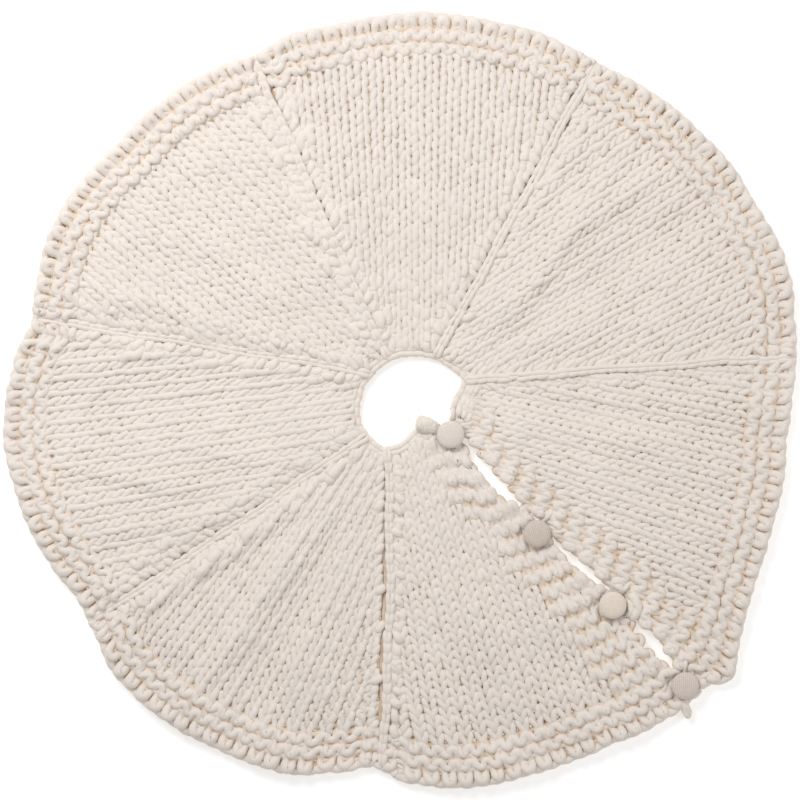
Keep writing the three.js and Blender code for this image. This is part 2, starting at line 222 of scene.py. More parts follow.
def inside_slit(plan, side):
    """Distance inside the slit's edge, for panel 3 (+1) or panel 4 (-1)."""
    along = plan @ SLIT_ALONG
    off_middle = side * (plan @ SLIT_ACROSS - np.interp(along, SLIT_STATIONS, SLIT_MIDDLE))
    return off_middle - np.interp(along, *SLIT_WIDTHS.T) / 2 - SLIT_INSET


def draw_puckers(count=7):
    """Gentle waves in random directions: wave vector x, y and phase."""
    waves = []
    for _ in range(count):
        heading = rng.uniform(0, math.pi)
        length = rng.uniform(85, 190)
        waves.append((math.cos(heading) * 2 * math.pi / length,
                      math.sin(heading) * 2 * math.pi / length, rng.uniform(0, 6.28)))
    return waves


PUCKERS = draw_puckers()


def fabric_lift(plan):
    """Height of the fabric's middle above where it would lie flat."""
    x, y = plan[..., 0], plan[..., 1]
    near = np.full(x.shape, 1e3)
    for seam in SEAMS.values():
        near = np.minimum(near, np.abs(seam.offset(plan)))
    lift = 2.6 * (1 - np.exp(-(near / 38.0) ** 2))
    # the outer part ripples, dips before the hem border and steps up onto it
    r, turn = radius_of(plan), np.radians(angle_of(plan))
    ripple = np.clip((r - 520) / 80, 0, 1)
    lift = lift + 1.6 * ripple * (0.5 + 0.5 * np.sin(turn * 19 + 1.3 * np.sin(turn * 3)))
    into = r - (radius_at(HEM_RADII, angle_of(plan)) - HEM_WIDTH)
    step = smoothstep(np.clip((into + 3) / 12, 0, 1))
    lift = lift * (1 - 0.75 * np.exp(-((into + 8) / 16.0) ** 2)) + 3.6 * step
    for wave_x, wave_y, phase in PUCKERS:
        wave = 0.5 + 0.5 * np.sin(wave_x * x + wave_y * y + phase)
        lift = lift + wave * np.clip(near / 30, 0, 1)
    for cx, cy, dx, dy, length, width, height in FOLDS:
        along = (x - cx) * dx + (y - cy) * dy
        across = -(x - cx) * dy + (y - cy) * dx
        lift = lift + height * np.exp(-(along / length) ** 2 - (across / width) ** 2)
    for name, at_seam in FLAT_SEAMS.items():
        away = np.abs(SEAMS[name].offset(plan))
        cap = at_seam + 0.085 * away
        capped = cap + (lift - cap) * np.clip((away - 110) / 120, 0, 1)
        lift = np.where(lift > cap, capped, lift)
    # the buttons press the fabric down
    for bx, by in BUTTONS:
        away = np.hypot(x - bx, y - by)
        press = np.exp(-(away / 26.8) ** 9)
        lift = np.minimum(lift, 2.4 + np.clip(away - 36, 0, None) * 0.12) * (1 - press)
        lift = lift - 3.5 * press - 1.7 * np.exp(-(away / 17.0) ** 4)
    return lift


# ------------------------------------------------------------------ curves
def wander(count, reach, size):
    """Random drift, smoothed over `reach` samples on each side."""
    noise = rng.normal(0, 1, count + 6 * reach)
    kernel = np.hanning(2 * reach + 1)
    kernel /= np.sqrt((kernel ** 2).sum())
    return size * np.convolve(noise, kernel, "same")[3 * reach: 3 * reach + count]


def resample(points, step):
    """Even stations along a polyline, and their distances along it."""
    points = np.asarray(points, float)
    lengths = np.linalg.norm(np.diff(points, axis=0), axis=1)
    dist = np.concatenate([[0], np.cumsum(lengths)])
    even = np.linspace(0, dist[-1], max(2, int(round(dist[-1] / step)) + 1))
    return at_distance(even, dist, points), even


def at_distance(where, dist, points):
    return np.stack([np.interp(where, dist, points[:, i]) for i in range(points.shape[1])], -1)


def tangents(path, guard=0.0):
    steps = np.gradient(path, axis=0)
    return steps / (np.linalg.norm(steps, axis=1)[:, None] + guard)


def right_of(direction):
    return np.stack([direction[:, 1], -direction[:, 0]], -1)


def spline(points, count):
    """Catmull-Rom curve through the points."""
    p = np.asarray(points, float)
    ext = np.vstack([2 * p[0] - p[1], p, 2 * p[-1] - p[-2]])
    curve = []
    for x in np.linspace(0, len(p) - 1, count):
        i = min(int(x), len(p) - 2)
        t = x - i
        p0, p1, p2, p3 = ext[i:i + 4]
        curve.append(0.5 * ((2 * p1) + (-p0 + p2) * t + (2 * p0 - 5 * p1 + 4 * p2 - p3) * t * t
                            + (-p0 + 3 * p1 - 3 * p2 + p3) * t ** 3))
    return np.array(curve)


# ------------------------------------------------------------------ swept yarn
class YarnMesh:
    """Gathers swept tubes for one piece."""
    def __init__(self):
        self.points, self.fibres, self.depths, self.strips = [], [], [], []
        self.count = self.rings = 0

    def tube(self, path, radii, sides=YARN_SIDES, start=0.0, depth=None, profile=1.0):
        """Sweeps one yarn. `start` is the yarn length already used, `depth` the height where
        yarns hide one another and get painted tan shade. Returns the yarn length at the end."""
        if depth is None:
            depth = path[:, 2] - 6.0
        along = tangents(path, guard=1e-9)
        side = np.cross(np.array([0, 0, 1.0]), along)
        side = side / np.maximum(np.linalg.norm(side, axis=1)[:, None], 1e-6)
        up = np.cross(along, side)
        n = len(path)
        theta = np.linspace(0, 2 * math.pi, sides, endpoint=False)
        reach = radii[:, None] * profile * (1 + fuzz.uniform(-0.055, 0.055, (n, sides)))
        rings = (path[:, None, :] + (reach * np.cos(theta))[:, :, None] * side[:, None, :]
                 + (reach * np.sin(theta))[:, :, None] * up[:, None, :])
        lengths = np.linalg.norm(np.diff(path, axis=0), axis=1)
        arc = start + np.concatenate([[0], np.cumsum(lengths)])
        twist = theta[None] + arc[:, None] * 0.055
        fibre = np.stack([np.broadcast_to(arc[:, None], (n, sides)),
                          6 * np.cos(twist), 6 * np.sin(twist)], -1)
        # painted shade: 0 where the yarn lies at the `depth` height, coloured the tan shade of
        # the hollows, up to 1 (the yarn's own colour) 8.5 mm away
        out_of_painted_shade = np.clip(np.abs(rings[:, :, 2] - depth[:, None]) / 8.5, 0, 1)

        i, j = np.arange(n - 1)[:, None], np.arange(sides)[None]
        a = self.count + i * sides + j
        b = self.count + i * sides + (j + 1) % sides
        quads = np.stack([a, b, b + sides, a + sides], -1).reshape(-1, 4)
        last_ring = self.count + (n - 1) * sides
        first_tip = self.count + n * sides
        caps = []
        for k in range(sides):
            following = (k + 1) % sides
            caps.append((self.count + following, self.count + k, first_tip))
            caps.append((last_ring + k, last_ring + following, first_tip + 1))
        tips = np.stack([path[0] - along[0] * radii[0] * 0.45,
                         path[-1] + along[-1] * radii[-1] * 0.45])
        self.points += [rings.reshape(-1, 3), tips]
        self.fibres += [fibre.reshape(-1, 3), np.stack([[arc[0], 0, 0], [arc[-1], 0, 0]])]
        self.depths += [out_of_painted_shade.reshape(-1), np.array([out_of_painted_shade[0].mean(), out_of_painted_shade[-1].mean()])]
        self.strips.append((quads, np.array(caps, int), n - 1, sides))
        self.count += n * sides + 2
        self.rings += n - 1
        return arc[-1]

    def bake_layout(self):
        """UVs: every tube is a strip, cut into blocks one under another."""
        block_height = max(strip[3] for strip in self.strips) + 0.5
        total = self.rings + 2 * len(self.strips) + 4
        columns = max(8, int(math.ceil(math.sqrt(total * block_height))))
        blocks = int(math.ceil(total / columns)) + 1
        size = max(blocks * block_height, columns)
        quad_uvs, cap_uvs = [], []
        used = 0
        for _, caps, length, sides in self.strips:
            ring = used + np.arange(length)
            x = np.broadcast_to((ring % columns)[:, None], (length, sides)).astype(float)
            y = (ring // columns)[:, None] * block_height + np.arange(sides)[None]
            corners = [(x, y), (x, y + 1), (x + 1, y + 1), (x + 1, y)]
            quad = np.stack([np.stack(corner, -1) for corner in corners], 2)
            quad_uvs.append(quad.reshape(-1, 2))
            used += length
            for k in range(len(caps)):
                x = (used + k % 2) % columns
                y = ((used + k % 2) // columns) * block_height + k // 2
                cap_uvs.append([(x + 0.1, y + 0.1), (x + 0.1, y + 0.9), (x + 0.9, y + 0.5)])
            used += 2
        uvs = np.concatenate([np.concatenate(quad_uvs), np.array(cap_uvs).reshape(-1, 2)])
        return np.clip(uvs / size, 0, 1)

    def build(self, name, material):
        points = np.concatenate(self.points) * MM
        quads = np.concatenate([strip[0] for strip in self.strips])
        caps = np.concatenate([strip[1] for strip in self.strips])
        corners = np.concatenate([quads.ravel(), caps.ravel()])
        starts = np.concatenate([np.arange(len(quads)) * 4,
                                 len(quads) * 4 + np.arange(len(caps)) * 3])
        mesh = bpy.data.meshes.new(name)
        mesh.vertices.add(len(points))
        mesh.vertices.foreach_set("co", points.astype(np.float32).ravel())
        mesh.loops.add(len(corners))
        mesh.loops.foreach_set("vertex_index", corners.astype(np.int32))
        mesh.polygons.add(len(starts))
        mesh.polygons.foreach_set("loop_start", starts.astype(np.int32))
        mesh.polygons.foreach_set("use_smooth", np.ones(len(starts), bool))
        mesh.update(calc_edges=True)
        layer = mesh.uv_layers.new(name="OFBake")
        layer.data.foreach_set("uv", self.bake_layout().astype(np.float32).ravel())
        fibre = mesh.attributes.new("fib", "FLOAT_VECTOR", "POINT")
        fibre.data.foreach_set("vector", np.concatenate(self.fibres).astype(np.float32).ravel())
        depth = mesh.attributes.new("depth", "FLOAT", "POINT")
        depth.data.foreach_set("value", np.concatenate(self.depths).astype(np.float32))
        return add_object(name, mesh, material)


def add_object(name, mesh, material):
    piece = bpy.data.objects.new(name, mesh)
    bpy.context.scene.collection.objects.link(piece)
    mesh.materials.append(material)
    return piece


def register(piece, body, cad_piece):
    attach(piece, body)
    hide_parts(cad_piece)


# ------------------------------------------------------------------ one panel's plan
class Panel:
    """Maps stitches to the plan. `across` is millimetres sideways, growing counter-clockwise;
    `row` counts rows inward from the hem border, and is negative within it."""
    def __init__(self, number):
        self.number = number
        (self.ccw, self.cw, self.angle_cw, self.angle_ccw,
         self.skew, self.lean, self.high, self.relief) = PANELS[number]
        middle_angle = (self.angle_cw + self.angle_ccw) / 2
        self.outward = unit(middle_angle)
        self.sideways = np.array([-self.outward[1], self.outward[0]])
        # line under the hem's garter border, as height over sideways place
        angles = np.linspace(middle_angle - 85, middle_angle + 85, 1701)
        line = HOLE + unit(angles) * (radius_at(HEM_RADII, angles) - HEM_WIDTH)[:, None]
        across, height = self.local(line)
        reached = np.maximum.accumulate(across)
        kept = np.concatenate([[True], across[1:] > reached[:-1] + 1e-6])
        self.hem_across, self.hem_height = across[kept], height[kept]
        inside = self.margin(self.hem_line(self.hem_across), {}) > 0
        self.cw_end = self.hem_across[inside].min()
        self.ccw_end = self.hem_across[inside].max()
        self.middle = (self.cw_end + self.ccw_end) / 2
        # line where the knitting meets the hole's edging
        top = HOLE + unit(angles) * (radius_at(HOLE_RADII, angles) + 13.5)[:, None]
        if number == 4:
            top = KNIT_TOP_4
        across, height = self.local(top)
        inside = self.margin(top, {}) > -12
        order = np.argsort(across[inside])
        top_across, top_height = across[inside][order], height[inside][order]
        # length of each wale between the two lines, found by repeated halving of the error
        self.wale_across = np.linspace(self.cw_end - 90, self.ccw_end + 90, 900)
        swing = np.radians(self.direction(self.wale_across) - middle_angle)
        hem = np.interp(self.wale_across, self.hem_across, self.hem_height)
        length = hem - 90
        for _ in range(12):
            landing = self.wale_across - length * np.sin(swing)
            reach = hem - np.interp(landing, top_across, top_height)
            length = 0.5 * length + 0.5 * reach / np.cos(swing)
        self.wale_length = length
        middle_length = np.interp(self.middle, self.wale_across, length)
        self.rows = int(round(middle_length / ROW_HEIGHT))

    def local(self, plan):
        return (plan - HOLE) @ self.sideways, (plan - HOLE) @ self.outward

    def outline(self, angle):
        """Outline radius; panel 3's hem ends in a square corner at the slit."""
        radius = radius_at(HEM_RADII, angle)
        if self.number == 3:
            away = angle + 40.6
            radius = radius + 21.0 * np.exp(-(away / np.where(away > 0, 3.4, 1.7)) ** 2)
        return radius

    def direction(self, across):
        f = np.clip((across - self.cw_end) / (self.ccw_end - self.cw_end), -0.15, 1.15)
        return self.angle_cw + (self.angle_ccw - self.angle_cw) * f

    def margin(self, plan, gaps):
        """Distance inside the nearer side, less that side's gap."""
        ccw = inside_slit(plan, -1) if self.ccw == "slit" else -SEAMS[self.ccw].offset(plan)
        cw = inside_slit(plan, 1) if self.cw == "slit" else SEAMS[self.cw].offset(plan)
        return np.minimum(ccw - gaps.get(self.ccw, 0.0), cw - gaps.get(self.cw, 0.0))

    def hem_line(self, across):
        height = np.interp(across, self.hem_across, self.hem_height)
        return HOLE + across[..., None] * self.sideways + height[..., None] * self.outward

    def place(self, across, row):
        hem = self.hem_line(across)
        step = np.interp(across, self.wale_across, self.wale_length) / self.rows
        inner = hem - (np.maximum(row, 0) * step)[..., None] * unit(self.direction(across))
        radial = (hem - HOLE) / radius_of(hem)[..., None]
        hem_step = (self.outline(angle_of(hem)) - 10.5 - radius_of(hem)) / 5.38
        outer = hem + (np.maximum(-row, 0) * hem_step)[..., None] * radial
        return np.where((row >= 0)[..., None], inner, outer)

    def limits(self, row):
        """Sideways ends of a row, or None where the panel has closed."""
        across = np.arange(self.cw_end - 70, self.ccw_end + 70, 1.5)
        margin = self.margin(self.place(across, np.full(across.shape, row)), SEAM_GAPS)
        inside = np.flatnonzero(margin > 0)
        if not len(inside):
            return None
        runs = np.split(inside, np.flatnonzero(np.diff(inside) > 1) + 1)
        run = max(runs, key=len)

        def crossing(i, j):
            if not 0 <= j < len(across):
                return across[i]
            return across[i] + (across[j] - across[i]) * margin[i] / (margin[i] - margin[j])
        return crossing(run[0], run[0] - 1), crossing(run[-1], run[-1] + 1)

    def rim(self, inset, seam_gap, slit_gap):
        """A line that follows the hem, `inset` inside the outline."""
        across = np.linspace(self.cw_end - 60, self.ccw_end + 60, 900)
        hem = self.hem_line(across)
        radius = self.outline(angle_of(hem)) - inset
        line = HOLE + (hem - HOLE) / radius_of(hem)[:, None] * radius[:, None]
        gaps = {side: slit_gap if side == "slit" else seam_gap for side in (self.ccw, self.cw)}
        near = np.abs(across - self.middle) < (self.ccw_end - self.cw_end) / 2 + 40
        return line[(self.margin(line, gaps) > 0) & near]

    def facing(self, row, columns, first, end):
        """+1 for stitches that face up, -1 for those that face down. Garter rows alternate."""
        if row >= self.rows:
            return np.ones(np.shape(columns))
        alternate = -1.0 if row % 2 else 1.0
        if row < 0:
            return np.full(np.shape(columns), alternate)
        faces = np.ones(np.shape(columns))
        if self.cw == "slit":
            faces = np.where(columns < first + SLIT_BAND[self.number], alternate, faces)
        if self.ccw == "slit":
            faces = np.where(columns >= end - SLIT_BAND[self.number], alternate, faces)
        return faces


# ------------------------------------------------------------------ knitting
KNITTING = {key: YarnMesh() for key in [*PANELS, *SEAMS]}


def lay_yarn(panel, plan, heights, radii, depths, sides=YARN_SIDES):
    """Sweeps one long yarn, shared between the panel and the seam zones it passes through."""
    keys = [panel.number]
    owner = np.zeros(len(plan), int)
    best = np.full(len(plan), SEAM_ZONE)
    for name in (panel.ccw, panel.cw):
        if name == "slit":
            continue
        keys.append(name)
        away = np.abs(SEAMS[name].offset(plan))
        hit = away < best
        owner[hit] = len(keys) - 1
        best = np.where(hit, away, best)
    path = np.column_stack([plan, heights])
    owner = owner[:-1]
    used = 0.0
    for part in np.split(np.arange(len(owner)), np.flatnonzero(np.diff(owner)) + 1):
        span = slice(part[0], part[-1] + 2)
        used = KNITTING[keys[owner[part[0]]]].tube(
            path[span], radii[span], sides=sides, start=used, depth=depths[span])


def soften(values, phase, blend=0.16):
    """Spreads one value per stitch over its samples, easing into its neighbours."""
    f = phase / (2 * math.pi)
    left = np.concatenate([[values[0]], values[:-1]])[:, None]
    right = np.concatenate([values[1:], [values[-1]]])[:, None]
    to_left = np.clip(0.5 - f / (2 * blend), 0, 0.5)
    to_right = np.clip(0.5 - (1 - f) / (2 * blend), 0, 0.5)
    return values[:, None] * (1 - to_left - to_right) + left * to_left + right * to_right


def stitch_row(panel, row, edges, spans):
    """One row's yarn, clockwise side first: places across, rows, heights and radii."""
    count = len(edges) - 1
    widths = np.diff(edges)[:, None]
    first, end = spans[row]
    columns = first + np.arange(count)
    in_hem = row < 0
    # each stitch runs from a low point up round its head and down again
    phase = np.arange(STITCH_SAMPLES) * 2 * math.pi / STITCH_SAMPLES
    phase = np.broadcast_to(phase, (count, STITCH_SAMPLES))
    cos, sin, cos_twice = np.cos(phase), np.sin(phase), np.cos(2 * phase)
    leg = 0.5 - 0.5 * cos_twice
    lower = soften(panel.facing(row, columns, first, end), phase)
    upper = soften(panel.facing(row + 1, columns, *spans.get(row + 1, (first, end))), phase)
    climb = np.where(phase <= math.pi, phase, 2 * math.pi - phase)
    mix = smoothstep(np.clip((climb - 1.15) / (math.pi - 2.30), 0, 1))
    facing = (1 - mix) * lower + mix * upper
    last_row = row >= panel.rows - 1
    garter = np.zeros_like(lower) if last_row else np.clip(-lower * upper, 0, 1)
    plain = 1 - garter

    # height: plain stitches weave, garter stitches stand in bumps
    weave = STITCH_DEPTH * panel.relief * np.tanh(2.1 * (0.42 - cos_twice)) * facing
    top = smoothstep(np.clip((-cos + 0.02) / 0.62, 0, 1))
    bottom = smoothstep(np.clip((cos + 0.02) / 0.62, 0, 1))
    bumps = (-GARTER_DEPTH * (top * upper * (1 - 0.12 * cos ** 2) + bottom * lower)
             - 0.25 * GARTER_DEPTH * (1 - top - bottom))
    height = weave * plain + bumps * garter
    legs_up = plain * np.clip(facing, 0, 1) * np.clip(1 - cos_twice, 0, 1) * 0.5
    height = height - legs_up * (1.2 * panel.relief * cos + panel.high * sin)

    # plan: loops reach into the rows above and below, and lean
    row_height = HEM_ROW_HEIGHT if in_hem else ROW_HEIGHT
    garter_reach = 10.6 if in_hem else 14.0
    reach = (row_height + 9.0) * plain + (row_height + garter_reach) * garter
    rise = -(reach / (2 * row_height)) * cos
    lean = panel.lean * plain + 0.065 * garter
    across = edges[:-1, None] + widths * (
        phase / (2 * math.pi) + lean * np.sin(2 * phase) + 0.018 * plain * sin)
    across = across - (0.03 if in_hem else panel.skew) * rise * row_height
    rows = row + 0.5 + rise

    # shallow panels have thicker plain yarn
    radii = (YARN * (1.02 + 0.02 * leg - 0.05 * panel.high * sin) * plain
             * (1 + 0.20 * (1 - panel.relief))
             + YARN * ((1.24 if in_hem else 1.18) - 0.08 * leg) * garter)
    if row == -HEM_ROWS:
        radii = radii * (1 + 0.16 * np.clip(cos, 0, 1))
    # odd sized stitches beside a seam are lumpy
    bulk = np.zeros((count, 1))
    bulk[0] = LUMPS.get((panel.number, panel.cw), 0.5)
    bulk[-1] = LUMPS.get((panel.number, panel.ccw), 0.5)
    lump = bulk * rng.uniform(0.0, 0.42, (count, 1))
    fit = np.clip(widths / STITCH_WIDTH, 0.15, 1) ** 1.5
    radii = radii * (1 + lump * fit * (not in_hem))
    narrow = np.clip(widths / STITCH_WIDTH, 0.1, 1)
    height = height + bulk * rng.uniform(-0.5, 3.0, (count, 1)) * narrow
    if panel.number == 4 and row > panel.rows - 7:
        # uneven corner between the hole and the slit
        corner = np.clip((columns[:, None] - (end - 6)) / 4.0, 0, 1)
        height = height + corner * rng.normal(0.6, 1.6, (count, 1))
        radii = radii * (1 + corner * rng.uniform(-0.05, 0.25, (count, 1)))
    radii = radii * (1 + 0.035 * rng.normal(0, 1, (count, 1)))

    across, rows, height, radii = (a.ravel() for a in (across, rows, height, radii))
    return [np.append(across, edges[-1]), np.append(rows, rows[0]),
            np.append(height, height[0]), np.append(radii, radii[0])]


def row_turn(panel, row, before, after):
    """The yarn between two rows, bulging outward; it stands proud at the slit."""
    f = np.linspace(0, 1, 7)[1:-1]
    arch = np.sin(math.pi * f)
    outward = 1.0 if row % 2 else -1.0
    at_slit = (panel.ccw if outward > 0 else panel.cw) == "slit"
    bulge, lift, thickness = (4.6, 1.2, 1.32) if at_slit else (1.0, -1.0, 1.0)
    return np.stack([before[0] + (after[0] - before[0]) * f + bulge * outward * arch,
                     before[1] + (after[1] - before[1]) * f,
                     before[2] + (after[2] - before[2]) * f + lift * arch,
                     np.full(len(f), YARN * thickness)], -1)


def knit_panel(number):
    """Knits one panel as one long yarn, hem to hole."""
    panel = Panel(number)
    row_edges, spans = {}, {}
    for row in range(-HEM_ROWS, panel.rows):
        ends = panel.limits(row + 0.5)
        if ends is None or ends[1] - ends[0] < 14:
            continue
        cw, ccw = ends
        first = math.ceil(cw / STITCH_WIDTH + 0.42)
        last = math.floor(ccw / STITCH_WIDTH - 0.42)
        inner = np.arange(first, last + 1) * STITCH_WIDTH
        row_edges[row] = np.concatenate([[cw], inner, [ccw]])
        spans[row] = (first - 1, first + len(inner))
    pieces = []
    for row, edges in row_edges.items():
        yarn = np.stack(stitch_row(panel, row, edges, spans), -1)
        if row % 2:
            yarn = yarn[::-1]
        if pieces:
            pieces.append(row_turn(panel, row, pieces[-1][-1], yarn[0]))
        pieces.append(yarn)
    across, rows, swing, radii = np.concatenate(pieces).T.copy()
    n = len(across)
    across += wander(n, 7, 0.85)
    rows += wander(n, 7, 0.045)
    swing = swing + wander(n, 9, 0.55)
    radii = radii * (1 + wander(n, 22, 0.06) + wander(n, 2, 0.03))
    plan = panel.place(across, rows)
    middle = np.maximum(MIDDLE + fabric_lift(plan), 0)
    # the fabric's middle height is where the tan shade is painted deepest
    lay_yarn(panel, plan, np.maximum(middle + swing, radii + 0.05), radii, middle)
    return panel


def chain(path, width, pitch, radius, swing, height, bow, jitter, lift, pick_mesh):
    """A column of linked loops along a plan path. Each link is a hairpin whose ends hide under
    the one before."""
    fine, dist = resample(path, 1.0)
    kernel = np.hanning(15)
    kernel /= kernel.sum()
    padded = np.concatenate([np.repeat(fine[:1], 7, 0), fine, np.repeat(fine[-1:], 7, 0)])
    fine = np.stack([np.convolve(padded[:, i], kernel, "valid") for i in range(2)], -1)
    forward = tangents(fine, guard=1e-9)
    sideways = right_of(forward)
    total = dist[-1]
    count = max(1, int(round(total / pitch)))
    pitch = total / count
    t = np.linspace(0.42, 2 * math.pi - 0.42, 17)
    for i in range(count):
        centre = (i + 0.5) * pitch + rng.normal(0, 0.5) * jitter
        link_width = width * (1 + rng.normal(0, 0.05) * jitter)
        across = (link_width * (t / (2 * math.pi) - 0.5) + bow * link_width * np.sin(2 * t)
                  + rng.normal(0, 0.4) * jitter)
        z = -swing * np.cos(2 * t) + rng.normal(0, 0.3) * jitter
        along = np.clip(centre - 0.80 * pitch * np.cos(t), -0.3 * pitch, total + 0.3 * pitch)
        overrun = np.clip(along - total, 0, None) + np.clip(along, None, 0)
        plan = (at_distance(along, dist, fine)
                + at_distance(along, dist, sideways) * across[:, None]
                + at_distance(along, dist, forward) * overrun[:, None])
        base = height + lift(plan)
        radii = radius * (0.93 + 0.14 * (0.5 - 0.5 * np.cos(2 * t)))
        radii = radii * (1 + rng.normal(0, 0.05) * jitter)
        link = np.column_stack([plan, np.maximum(base + z, radii + 0.05)])
        pick_mesh(plan).tube(link, radii, depth=base - 4.0)


# ------------------------------------------------------------------ seams
def cord_lift(plan):
    """Lift of a seam's cord, which sinks as it crosses the hem border."""
    into = radius_of(plan) - (radius_at(HEM_RADII, angle_of(plan)) - HEM_WIDTH)
    f = np.clip((into + 6) / 40, 0, 1)
    return fabric_lift(plan) * (1 - 0.6 * f) - 3.4 * smoothstep(f)


def seam_path(seam):
    """The cord's line from the hole's edging to the hem, with its bow and a small wobble."""
    dist = np.linspace(-25, seam.length + 60, 400)
    line = seam.start + dist[:, None] * seam.direction
    r, angle = radius_of(line), angle_of(line)
    kept = (r > radius_at(HOLE_RADII, angle) + 6) & (r < radius_at(HEM_RADII, angle) - 11)
    line, dist = line[kept], dist[kept]
    f = (dist - dist[0]) / (dist[-1] - dist[0])
    stray = seam.bow * np.sin(math.pi * f) + 1.2 * np.sin(f * 17 + seam.start[0])
    return line + seam.normal * stray[:, None]


def seam_selvedge(seam, mesh, line, side):
    """Turned-in edge under the cord, on one side."""
    n = len(line)
    plan = line + seam.normal * (side * (seam.gap + 0.6) + wander(n, 5, 0.5))[:, None]
    path = np.column_stack([plan, 7.0 + wander(n, 6, 0.4)])
    mesh.tube(path, 4.9 * (1 + wander(n, 4, 0.06)), depth=np.full(n, 10.6))


def seam_knots(seam, mesh, line, dist, side, bulk):
    """Knots and bulky stitches standing beside the cord; a higher bulk crowds them."""
    at = 14.0
    f = np.linspace(-1, 1, 11)
    heading = math.atan2(seam.direction[1], seam.direction[0])
    while bulk > 0 and at < dist[-1] - 62:
        at += rng.uniform(12.5, 21.0) / bulk
        centre = at_distance(at, dist, line) + seam.normal * side * rng.uniform(11.5, 16.5)
        angle = heading + side * rng.normal(0.75, 0.35)
        half_length = rng.uniform(6.5, 9.5)
        plan = centre + np.array([math.cos(angle), math.sin(angle)]) * (f * half_length)[:, None]
        height = rng.uniform(13.8, 17.3) - 6.5 * f ** 4 + 0.6 * fabric_lift(plan)
        mesh.tube(np.column_stack([plan, height]),
                  rng.uniform(5.7, 7.1) * np.sqrt(1 - 0.62 * f ** 4), depth=height - 4.5)


def sew_seam(name):
    seam, mesh = SEAMS[name], KNITTING[name]
    path = seam_path(seam)
    line, dist = resample(path, 3.0)
    for side in (-1, 1):
        seam_selvedge(seam, mesh, line, side)
    for side, bulk in zip((-1, 1), seam.bulk):
        seam_knots(seam, mesh, line, dist, side, bulk)
    chain(path[::-1], width=11.6, pitch=15.5, radius=4.0, swing=2.4, height=seam.cord_height,
          bow=0.15, jitter=1.6, lift=cord_lift, pick_mesh=lambda plan: mesh)


# ------------------------------------------------------------------ hem
def cast_on_edge(panel):
    """A slightly lumpy cord under the outermost bumps."""
    rim, dist = resample(panel.rim(inset=6.4, seam_gap=0.4, slit_gap=-2.0), 2.2)
    n = len(rim)
    phase = 2 * math.pi * dist / STITCH_WIDTH
    forward = tangents(rim)
    x, y = rim[0] - HOLE
    outward = right_of(forward) * (1 if forward[0, 1] * x - forward[0, 0] * y > 0 else -1)
    plan = rim + outward * (0.9 * np.sin(phase) + wander(n, 8, 0.5))[:, None]
    height = 9.6 + 0.8 * np.cos(phase) + wander(n, 10, 0.4) + 0.5 * fabric_lift(plan)
    radii = 6.7 * (1 + 0.07 * np.cos(phase + 0.7) + wander(n, 9, 0.05))
    height = np.maximum(height, radii + 0.05)
    lay_yarn(panel, plan, height, radii, height - 12.0, sides=12)


# backs of the garter rows: inset from the outline, yarn radius, lift, depth height (where the
# yarn is painted in the tan shade colour)
HEM_BACKS = [(13.5, 6.2, 6.4, 16.4), (29.0, 5.4, 2.6, 13.5), (41.0, 5.4, 2.6, 13.5),
             (53.0, 5.4, 2.6, 13.5)]


def hem_back(panel, inset, radius, lift, depth):
    """The low back of one garter row, seen down between the ridges."""
    plan, _ = resample(panel.rim(inset, seam_gap=0.6, slit_gap=2.0), 7.0)
    n = len(plan)
    plan = plan + right_of(tangents(plan)) * wander(n, 3, 1.0)[:, None]
    radii = radius * (1 + wander(n, 3, 0.06))
    lift = lift + np.abs(wander(n, 3, 0.5))
    if inset == HEM_BACKS[0][0]:
        # the outermost back follows the fabric's dips
        low = fabric_lift(plan)
        lift = np.clip(lift - 0.4 + 1.1 * np.minimum(low - np.median(low), 0), 0, None)
    for bx, by in BUTTONS:
        away = np.hypot(plan[:, 0] - bx, plan[:, 1] - by)
        lift = lift * (1 - np.exp(-(away / 32.0) ** 8))
    lay_yarn(panel, plan, radii + 0.4 + lift, radii, np.full(n, depth), sides=8)


# ------------------------------------------------------------------ edging round the hole
EDGING = {number: YarnMesh() for number in PANELS}
# panel, from angle, to angle
EDGING_SECTORS = [(3, 0, 20), (2, 20, 61.8), (1, 61.8, 117.4), (7, 117.4, 150.8),
                  (6, 150.8, 216), (5, 216, 244.4), (4, 244.4, 318), (3, 318, 361)]
GATHERED = [(13.5, 16.0), (21.0, 17.2), (28.0, 16.4)]   # offset from the hole, height


def edging_mesh(point):
    """The seam zone or panel edging that a plan point belongs to."""
    best, nearest = SEAM_ZONE, None
    for name, seam in SEAMS.items():
        away = abs(float(seam.offset(point)))
        if away < best and np.linalg.norm(point - seam.start) < 45:
            best, nearest = away, name
    if nearest:
        return KNITTING[nearest]
    angle = float(angle_of(point) % 360)
    return next(EDGING[number] for number, low, high in EDGING_SECTORS if low <= angle < high)


def gathered_strand(offset, height):
    """A strand drawn in along panel 3's side of the hole."""
    angles = np.arange(-26, 17.5, 1.2)
    stray = offset + 2.2 * np.sin(angles * 0.22 + offset)
    plan = HOLE + unit(angles) * (radius_at(HOLE_RADII, angles) + stray)[:, None]
    clear = np.hypot(*(plan - np.array(BUTTONS[0])).T) > 31.0
    angles, plan = angles[clear], plan[clear]
    n = len(angles)
    rise = 2.2 * np.clip((6 - angles) / 14, 0, 1)
    z = height - 2.2 + rise + 1.2 * np.sin(angles * 0.5 + offset)
    path = np.column_stack([plan, z])
    radii = 5.3 * np.sqrt(1 - 0.7 * np.linspace(-1, 1, n) ** 6)
    owners = [edging_mesh(point) for point in plan]
    start = 0
    for i in range(1, n):
        if owners[i] is not owners[start] or i == n - 1:
            span = slice(start, i + 1)
            owners[start].tube(path[span], radii[span], sides=12, depth=z[span] - 5.0)
            start = i


